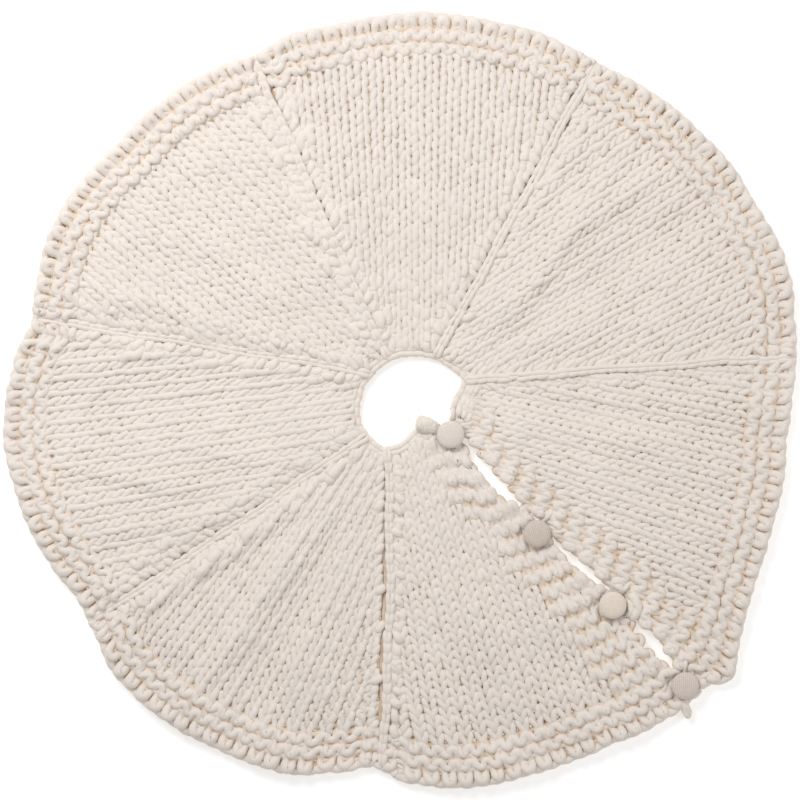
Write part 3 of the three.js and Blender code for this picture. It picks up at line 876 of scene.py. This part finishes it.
def hole_edging():
    for offset, height in GATHERED:
        gathered_strand(offset, height)
    angles = np.arange(-19, 243, 3.0)
    ring = HOLE + unit(angles) * (radius_at(HOLE_RADII, angles) + 6.4)[:, None]
    chain(np.concatenate([ring, EDGING_END_4]), width=14.5, pitch=16.0, radius=4.5, swing=2.2,
          height=9.2, bow=0.08, jitter=1.0, lift=lambda plan: np.zeros(len(plan)),
          pick_mesh=lambda plan: edging_mesh(plan.mean(0)))


# ------------------------------------------------------------------ materials
def srgb(red, green, blue):
    """Linear colour from 0-255 sRGB values."""
    def linear(value):
        value = value / 255
        return value / 12.92 if value <= 0.04045 else ((value + 0.055) / 1.055) ** 2.4
    return (linear(red), linear(green), linear(blue), 1)


def set_inputs(node, values):
    for socket, value in values.items():
        node.inputs[socket].default_value = value


def new_material(name):
    material = bpy.data.materials.new(name)
    material.use_nodes = True
    tree = material.node_tree
    tree.nodes.clear()
    output = tree.nodes.new("ShaderNodeOutputMaterial")
    shader = tree.nodes.new("ShaderNodeBsdfPrincipled")
    tree.links.new(shader.outputs[0], output.inputs[0])

    def add(kind, inputs={}, **settings):
        node = tree.nodes.new("ShaderNode" + kind)
        for key, value in settings.items():
            setattr(node, key, value)
        set_inputs(node, inputs)
        return node
    return material, shader, add, tree.links.new


def wool(name, high, low):
    """Yarn painted with the tan shade colour `low` in the hollows where strands hide one another,
    with fibres along its twist.
    """
    material, shader, add, link = new_material(name)
    fibre = add("Attribute", attribute_name="fib")
    depth = add("Attribute", attribute_name="depth")
    stretch = add("Mapping", {"Scale": (0.055, 0.42, 0.42)})
    link(fibre.outputs["Vector"], stretch.inputs["Vector"])
    fibres = add("TexNoise", {"Scale": 1.0, "Detail": 5, "Roughness": 0.65})
    link(stretch.outputs[0], fibres.inputs["Vector"])
    coords = add("TexCoord")
    patches = add("TexNoise", {"Scale": 9.0, "Detail": 3})
    link(coords.outputs["Object"], patches.inputs["Vector"])
    grain = add("TexNoise", {"Scale": 430.0, "Detail": 2})
    link(coords.outputs["Object"], grain.inputs["Vector"])
    # painted shade: the depth attribute runs from the tan `low` colour in the hollows at 0 to the
    # yarn's own `high` colour at 0.56
    ramp = add("ValToRGB")
    for element, place, colour in zip(ramp.color_ramp.elements, (0.0, 0.56), (low, high)):
        element.position = place
        element.color = colour
    link(depth.outputs["Fac"], ramp.inputs[0])
    tone = add("HueSaturation")
    # brightness: factor (1) and offset (2) on each noise, then their product
    fibre_tone = add("Math", {1: 0.24, 2: 0.88}, operation="MULTIPLY_ADD")
    link(fibres.outputs["Fac"], fibre_tone.inputs[0])
    patch_tone = add("Math", {1: 0.10, 2: 0.95}, operation="MULTIPLY_ADD")
    link(patches.outputs["Fac"], patch_tone.inputs[0])
    both = add("Math", operation="MULTIPLY")
    link(fibre_tone.outputs[0], both.inputs[0])
    link(patch_tone.outputs[0], both.inputs[1])
    link(ramp.outputs[0], tone.inputs["Color"])
    link(both.outputs[0], tone.inputs["Value"])
    link(tone.outputs[0], shader.inputs["Base Color"])
    set_inputs(shader, {"Roughness": 0.92, "Specular IOR Level": 0.15, "Sheen Weight": 0.25,
                        "Sheen Roughness": 0.6, "Sheen Tint": (1, 0.95, 0.88, 1)})
    bump = add("Bump", {"Strength": 0.62, "Distance": 0.0012})
    relief = add("Math", {1: 0.6}, operation="MULTIPLY_ADD")
    link(grain.outputs["Fac"], relief.inputs[0])
    link(fibres.outputs["Fac"], relief.inputs[2])
    link(relief.outputs[0], bump.inputs["Height"])
    link(bump.outputs[0], shader.inputs["Normal"])
    return material


def button_cloth(name, colour, rib_angle):
    """Ribbed cloth with painted shade in the rib grooves and random tone from grain noise; the
    rib angle is in radians.
    """
    material, shader, add, link = new_material(name)
    coords = add("TexCoord")
    turned = add("Mapping", {"Rotation": (0, 0, rib_angle)})
    link(coords.outputs["Object"], turned.inputs["Vector"])
    ribs = add("TexWave", {"Scale": 640.0 / 6.2832, "Distortion": 0.6, "Detail": 2})
    link(turned.outputs[0], ribs.inputs["Vector"])
    grain = add("TexNoise", {"Scale": 260, "Detail": 4})
    link(coords.outputs["Object"], grain.inputs["Vector"])
    # colour sockets of the mix node: 6 is A, 7 is B, output 2 is the result
    # painted shade: the cloth is 30 % darker in the rib grooves; the grain noise adds random tone
    rib_groove_shade = tuple(c * 0.70 for c in colour[:3]) + (1,)
    mix = add("Mix", {6: rib_groove_shade, 7: colour}, data_type="RGBA")
    relief = add("Math", {1: 0.5}, operation="MULTIPLY_ADD")
    link(ribs.outputs["Fac"], relief.inputs[0])
    grain_part = add("Math", {1: 0.9}, operation="MULTIPLY")
    link(grain.outputs["Fac"], grain_part.inputs[0])
    link(grain_part.outputs[0], relief.inputs[2])
    link(relief.outputs[0], mix.inputs[0])
    link(mix.outputs[2], shader.inputs["Base Color"])
    set_inputs(shader, {"Roughness": 0.88, "Specular IOR Level": 0.2, "Sheen Weight": 0.15})
    bump = add("Bump", {"Strength": 0.5, "Distance": 0.0004})
    link(relief.outputs[0], bump.inputs["Height"])
    link(bump.outputs[0], shader.inputs["Normal"])
    return material


def back_metal():
    material, shader, add, link = new_material("button_back_metal")
    noise = add("TexNoise", {"Scale": 300})
    roughness = add("MapRange", {"To Min": 0.28, "To Max": 0.5})
    link(noise.outputs["Fac"], roughness.inputs[0])
    link(roughness.outputs[0], shader.inputs["Roughness"])
    set_inputs(shader, {"Metallic": 0.9, "Base Color": srgb(186, 186, 186)})
    return material


def sewing_thread():
    material, shader, add, link = new_material("sewing_thread_wrap")
    turns = add("TexWave", {"Scale": 500, "Distortion": 1.5}, bands_direction="Z")
    coords = add("TexCoord")
    link(coords.outputs["Object"], turns.inputs["Vector"])
    bump = add("Bump", {"Distance": 0.0004})
    link(turns.outputs["Fac"], bump.inputs["Height"])
    link(bump.outputs[0], shader.inputs["Normal"])
    # painted shade: the thread is darker in the grooves between its turns
    ramp = add("ValToRGB")
    ramp.color_ramp.elements[0].color = srgb(205, 193, 176)
    ramp.color_ramp.elements[1].color = srgb(236, 228, 217)
    link(turns.outputs["Fac"], ramp.inputs[0])
    link(ramp.outputs[0], shader.inputs["Base Color"])
    set_inputs(shader, {"Roughness": 0.8})
    return material


# ------------------------------------------------------------------ yarn end, tail, loops
def strands(count, sides, lobes, turns, depth):
    """Radius factors of a yarn plied from `lobes` strands."""
    theta = np.linspace(0, 2 * math.pi, sides, endpoint=False)[None]
    twist = np.linspace(0, turns * 2 * math.pi, count)[:, None]
    return 1 - depth * (0.5 - 0.5 * np.cos(lobes * (theta + twist)))


def yarn_end_knob():
    mesh = YarnMesh()
    path = spline([(23.5, -35.5, 14.6), (32, -37.0, 15.0), (43, -39.5, 14.2), (55, -44.5, 11.0),
                   (68, -50.5, 9.2)], 60)
    t = np.linspace(0, 1, 60)
    rounded = np.sqrt(np.clip(1 - (1 - np.clip(t / 0.24, 0, 1)) ** 2, 0.0, 1))
    radii = 13.8 * rounded * (1 - 0.40 * np.clip((t - 0.45) / 0.4, 0, 1)) + 0.15
    mesh.tube(path, radii, sides=40, profile=strands(60, 40, lobes=3, turns=0.45, depth=0.07))
    register(mesh.build("yarn_end_knob", EDGE_WOOL), "wedge_4", "collar_tab")


def yarn_tail():
    mesh = YarnMesh()
    path = spline([(436, -463, 12), (440, -473, 11.5), (443.5, -483, 10), (446, -492, 8.5)], 40)
    mesh.tube(path, 7.8 * np.sqrt(1 - 0.97 * np.linspace(0, 1, 40) ** 5), sides=30,
              profile=strands(40, 30, lobes=2, turns=0.8, depth=0.14))
    register(mesh.build("yarn_tail_end", EDGE_WOOL), "wedge_4", "yarn_tail")


# where each button's loop runs into the fabric, two plan points a button
LOOP_ENDS = [((108, -35), (118, -55)), ((232, -174), (252, -202)),
             ((352, -284), (370, -314)), ((440, -402), (474, -423))]
# two knotted yarns beside button 3: points, samples, radius, twist turns
LOOP_KNOTS = [
    ([(353, -300, 13), (360, -306, 18.5), (366.5, -318, 19.0), (363, -330, 17.5),
      (356, -338, 12)], 50, 7.6, 1.5),
    ([(351, -309, 13), (355.5, -316, 18.0), (356, -326, 17.5), (351, -334, 12)], 40, 6.2, 1.2)]


def button_loop(number, button, ends):
    """A thin yarn from the fabric round the button's stem and back."""
    centre = np.array(button)
    ring = [(centre[0] + 12.6 * math.cos(a), centre[1] + 12.6 * math.sin(a), 14.7)
            for a in np.radians(45 + 58 + np.arange(10) * 27.1)]

    def lead(end, near):
        end = np.array(end, float)
        away = (end - centre) / np.linalg.norm(end - centre)
        rim = centre + away * 22.0
        clear = centre + away * 33.0
        return [(near[0] * 0.35 + rim[0] * 0.65, near[1] * 0.35 + rim[1] * 0.65, 12.8),
                (clear[0], clear[1], 17.0),
                (end[0] + away[0] * 4, end[1] + away[1] * 4, 13.0)]

    path = spline(lead(ends[0], ring[0])[::-1] + ring + lead(ends[1], ring[-1]), 120)
    mesh = YarnMesh()
    thick_ends = 1 + 0.5 * np.clip(np.abs(np.linspace(-1, 1, 120)) * 3 - 2.1, 0, 1)
    mesh.tube(path, 3.0 * (1 + wander(120, 8, 0.05)) * thick_ends, sides=14,
              profile=strands(120, 14, lobes=2, turns=7, depth=0.12))
    if number == 3:
        for points, count, radius, turns in LOOP_KNOTS:
            taper = np.sqrt(1 - 0.85 * np.linspace(-1, 1, count) ** 6)
            mesh.tube(spline(points, count), radius * taper, sides=18,
                      profile=strands(count, 18, lobes=2, turns=turns, depth=0.12))
    register(mesh.build(f"button_loop_{number}", EDGE_WOOL), "wedge_3", f"loop_{number}")


# ------------------------------------------------------------------ covered buttons
BUTTON_BASE, BUTTON_DOME, BUTTON_RADIUS, BUTTON_WALL = 22.8, 9.5, 21.0, 1.6
BUTTON_SEGMENTS = 168
RIB_PITCH = 2.1
# section from the top's centre round the rim to the underside's centre:
# radius, height as a part of the dome, extra height
BUTTON_SECTION = [
    (0, 1, 0), (3, 0.995, 0), (6, 0.975, 0), (9, 0.94, 0), (12, 0.885, 0), (14.5, 0.82, 0),
    (16.6, 0.735, 0), (18.4, 0.63, 0), (19.8, 0.50, 0), (20.7, 0.36, 0),
    (BUTTON_RADIUS, 0.24, 0), (20.8, 0.12, 0), (20.2, 0.03, 0), (19.3, 0, 0), (18.5, 0, 0.1),
    (18.2, 0, 0.8), (18.1, 0, 2.4), (17.3, 0.42, 0), (15, 0.66, -0.4),
    (11, 0.86, -BUTTON_WALL), (6, 0.96, -BUTTON_WALL), (0, 1, -BUTTON_WALL)]
# cloth colour and rib angle in radians, by button
BUTTON_CLOTHS = [(srgb(236, 225, 216), 0.6), (srgb(218, 205, 194), 0.3),
                 (srgb(240, 227, 214), -0.5), (srgb(225, 212, 202), 0.05)]


def covered_button(number, x, y, rib_angle, material):
    section = spline([(radius, BUTTON_BASE + BUTTON_DOME * part + extra, 0)
                      for radius, part, extra in BUTTON_SECTION], 96)[:, :2]
    section[0, 0] = section[-1, 0] = 0
    section[:, 0] = np.maximum(section[:, 0], 0)
    n = len(section)
    theta = np.linspace(0, 2 * math.pi, BUTTON_SEGMENTS, endpoint=False)
    cos, sin = math.cos(rib_angle), math.sin(rib_angle)
    r, z = section[1:-1, 0][:, None], section[1:-1, 1][:, None]
    plan_x, plan_y = r * np.cos(theta), r * np.sin(theta)
    # only the outer face carries ribs, and pleats where the cloth is gathered under the rim
    outer = (np.arange(1, n - 1) < int(n * 13 / 21))[:, None]
    across = plan_x * cos + plan_y * sin
    along = plan_y * cos - plan_x * sin
    ribs = 0.16 * np.cos(across * 2 * math.pi / RIB_PITCH + 0.25 * np.sin(0.7 * along)) * outer
    pleats = (0.22 * np.cos(theta * 26 + 1.7 * np.sin(theta * 3))[None]
              * np.exp(-((z - BUTTON_BASE - 0.6) / 1.6) ** 2) * outer)
    normal_z = np.gradient(section[:, 0])[1:-1][:, None]
    normal_r = -np.gradient(section[:, 1])[1:-1][:, None]
    length = np.hypot(normal_z, normal_r) + 1e-9
    relief = ribs + pleats
    r = r + relief * normal_r / length
    z = z + relief * normal_z / length
    rings = np.stack([x + r * np.cos(theta), y + r * np.sin(theta), z], -1).reshape(-1, 3)
    points = np.vstack([rings, [x, y, section[0, 1]], [x, y, section[-1, 1]]])

    i, j = np.arange(n - 3)[:, None], np.arange(BUTTON_SEGMENTS)[None]
    a = i * BUTTON_SEGMENTS + j
    b = i * BUTTON_SEGMENTS + (j + 1) % BUTTON_SEGMENTS
    quads = np.stack([a, a + BUTTON_SEGMENTS, b + BUTTON_SEGMENTS, b], -1).reshape(-1, 4)
    top = len(rings)
    last_ring = top - BUTTON_SEGMENTS
    pairs = [(k, (k + 1) % BUTTON_SEGMENTS) for k in range(BUTTON_SEGMENTS)]
    caps = [(top, k, following) for k, following in pairs]
    caps += [(top + 1, last_ring + following, last_ring + k) for k, following in pairs]
    mesh = bpy.data.meshes.new(f"button_cover_{number}")
    mesh.from_pydata((points * MM).tolist(), [], quads.tolist() + caps)
    mesh.polygons.foreach_set("use_smooth", np.ones(len(mesh.polygons), bool))
    mesh.update()
    cover = add_object(f"button_cover_{number}", mesh, material)
    register(cover, f"button_{number}", f"button_{number}_cap")


# ------------------------------------------------------------------ build
# `high` is the yarn's own ivory; `low` is the tan painted shade of the hollows between strands
KNIT_WOOL = wool("wool_knit_yarn", high=srgb(235, 226, 218), low=srgb(220, 196, 166))
EDGE_WOOL = wool("wool_edging_yarn", high=srgb(236, 227, 218), low=srgb(222, 199, 170))

# all yarn is laid before any mesh is built, since seam zones gather yarn from several pieces
panels = [knit_panel(number) for number in PANELS]
for name in SEAMS:
    sew_seam(name)
for panel in panels:
    cast_on_edge(panel)
for panel in panels:
    for back in HEM_BACKS:
        hem_back(panel, *back)
hole_edging()

for k in PANELS:
    knit = KNITTING[k].build(f"knit_panel_{k}", KNIT_WOOL)
    register(knit, f"wedge_{k}", f"panel_{k}")
    if EDGING[k].count:
        edging = EDGING[k].build(f"edging_{k}", EDGE_WOOL)
        register(edging, f"wedge_{k}", f"collar_{k}")
    else:
        # a panel whose edging all lies in its seam zones stands in for the collar itself
        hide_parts(f"collar_{k}")
for name, (parent, child, side) in SEAM_BODIES.items():
    piece = KNITTING[name].build(f"knit_{name}", KNIT_WOOL)
    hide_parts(name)
    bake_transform(piece)

yarn_end_knob()
yarn_tail()
for i, (button, ends) in enumerate(zip(BUTTONS, LOOP_ENDS), 1):
    button_loop(i, button, ends)
for i, ((x, y), (colour, rib_angle)) in enumerate(zip(BUTTONS, BUTTON_CLOTHS), 1):
    cloth = button_cloth(f"button_cloth_{i}", colour, rib_angle)
    covered_button(i, x, y, rib_angle, cloth)

button_parts = {"back": back_metal(), "thread": sewing_thread()}
for i in range(1, 5):
    for part, material in button_parts.items():
        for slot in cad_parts[f"button_{i}_{part}"].material_slots:
            slot.link = "OBJECT"
            slot.material = material


# ------------------------------------------------------------------ floor, light, camera (metres)
def area_light(name, location, target, size, energy, color):
    light = bpy.data.lights.new(name, "AREA")
    light.shape = "SQUARE"
    light.size = size
    light.energy = energy
    light.color = color
    lamp = bpy.data.objects.new(name, light)
    scene.collection.objects.link(lamp)
    lamp.location = location
    aim = Vector(target) - Vector(location)
    lamp.rotation_euler = aim.to_track_quat("-Z", "Y").to_euler()


bpy.ops.mesh.primitive_plane_add(size=14, location=(0, 0, -0.0005))
floor = bpy.context.object
floor.name = "floor"
white, shader, _, _ = new_material("floor_white")
set_inputs(shader, {"Base Color": (0.86, 0.86, 0.86, 1), "Emission Color": (1, 1, 1, 1),
                    "Emission Strength": 0.36, "Roughness": 0.9, "Specular IOR Level": 0.1})
floor.data.materials.append(white)

scene = bpy.context.scene
scene.world = bpy.data.worlds.new("studio")
scene.world.use_nodes = True
set_inputs(scene.world.node_tree.nodes["Background"],
           {"Color": (1.0, 0.985, 0.965, 1), "Strength": 0.525})
area_light("key", location=(-1.0, 1.45, 1.95), target=(0, 0.05, 0), size=1.2, energy=37.3,
           color=(0.985, 0.99, 1.0))
area_light("fill", location=(2.1, 0.1, 1.8), target=(0.2, 0, 0), size=1.8, energy=11,
           color=(1, 0.985, 0.965))

SENSOR_WIDTH = 36                  # millimetres
FRAMED_DISTANCE = 4.0              # from the lens to the level where the frame is measured
FRAMED_WIDTH = 1.232               # width of the frame at that level
camera = bpy.data.cameras.new("cam")
camera_object = bpy.data.objects.new("cam", camera)
scene.collection.objects.link(camera_object)
camera_object.location = (0, 0, 4.02)    # looking straight down
camera.sensor_width = SENSOR_WIDTH
camera.sensor_fit = "HORIZONTAL"
camera.lens = SENSOR_WIDTH * FRAMED_DISTANCE / FRAMED_WIDTH
scene.camera = camera_object
scene.view_settings.view_transform = "Standard"
scene.view_settings.look = "None"
